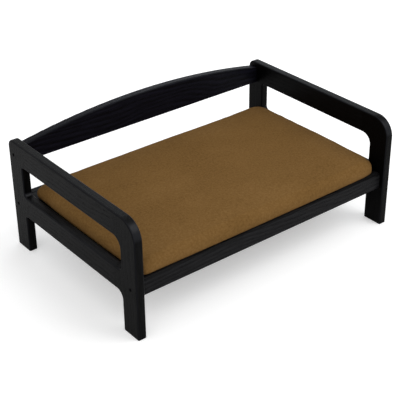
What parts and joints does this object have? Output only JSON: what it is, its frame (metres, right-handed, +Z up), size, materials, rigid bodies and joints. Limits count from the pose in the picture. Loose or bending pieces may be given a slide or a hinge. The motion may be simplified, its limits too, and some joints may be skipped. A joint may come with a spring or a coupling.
{
  "type": "raised dog bed",
  "caption": "Low wooden dog sofa with open side frames, an arched backrest and a loose cushion on slats.",
  "frame": {"origin": "middle of the bed's footprint, on the floor", "axes": "+X along the length to the right as seen from the front, +Y from the front to the backrest, +Z up"},
  "size_m": [0.9, 0.595, 0.363],
  "materials": {
    "black_stained_wood": "black stain with fine open grain, satin",
    "beech_dowel": "plain fluted beech",
    "black_steel": "black oxide, satin",
    "zinc_steel": "zinc plated",
    "cover_fabric": "fine short-pile suede-like fabric, brown",
    "foam": "open-cell foam",
    "zip_tape": "woven tape with moulded chain, brown",
    "zip_metal": "dull die-cast metal"
  },
  "bodies": {
    "bed_frame": {"left_front_leg": "black_stained_wood", "left_rear_leg": "black_stained_wood", "left_arm_rail": "black_stained_wood", "left_side_rail": "black_stained_wood", "right_front_leg": "black_stained_wood", "right_rear_leg": "black_stained_wood", "right_arm_rail": "black_stained_wood", "right_side_rail": "black_stained_wood", "front_rail": "black_stained_wood", "rear_rail": "black_stained_wood", "backrest": "black_stained_wood", "front_cleat": "black_stained_wood", "rear_cleat": "black_stained_wood", "slat_1": "black_stained_wood", "slat_2": "black_stained_wood", "slat_3": "black_stained_wood", "slat_4": "black_stained_wood", "slat_5": "black_stained_wood", "slat_6": "black_stained_wood", "slat_7": "black_stained_wood", "slat_8": "black_stained_wood", "left_frame_dowels": "beech_dowel", "right_frame_dowels": "beech_dowel", "rail_dowels": "beech_dowel", "connector_bolts": "black_steel", "barrel_nuts": "zinc_steel", "cleat_screws": "zinc_steel", "slat_screws": "zinc_steel"},
    "cushion": {"cushion_cover": "cover_fabric", "foam_core": "foam", "zip_tape": "zip_tape"},
    "zip_slider": {"zip_slider": "zip_metal"},
    "zip_pull": {"zip_pull": "zip_metal"}
  },
  "joints": [
    {"name": "cushion_lift", "type": "slide", "parent": "bed_frame", "child": "cushion", "axis": [0, 0, 1], "range_m": [0, 0.25]},
    {"name": "zip_slide", "type": "slide", "parent": "cushion", "child": "zip_slider", "axis": [-1, 0, 0], "range_m": [0, 0.5824]},
    {"name": "zip_pull_turn", "type": "hinge", "parent": "zip_slider", "child": "zip_pull", "pos_m": [0.2912, 0.2418, 0.1823], "axis": [0, 0, -1], "range_deg": [0, 180]}
  ]
}
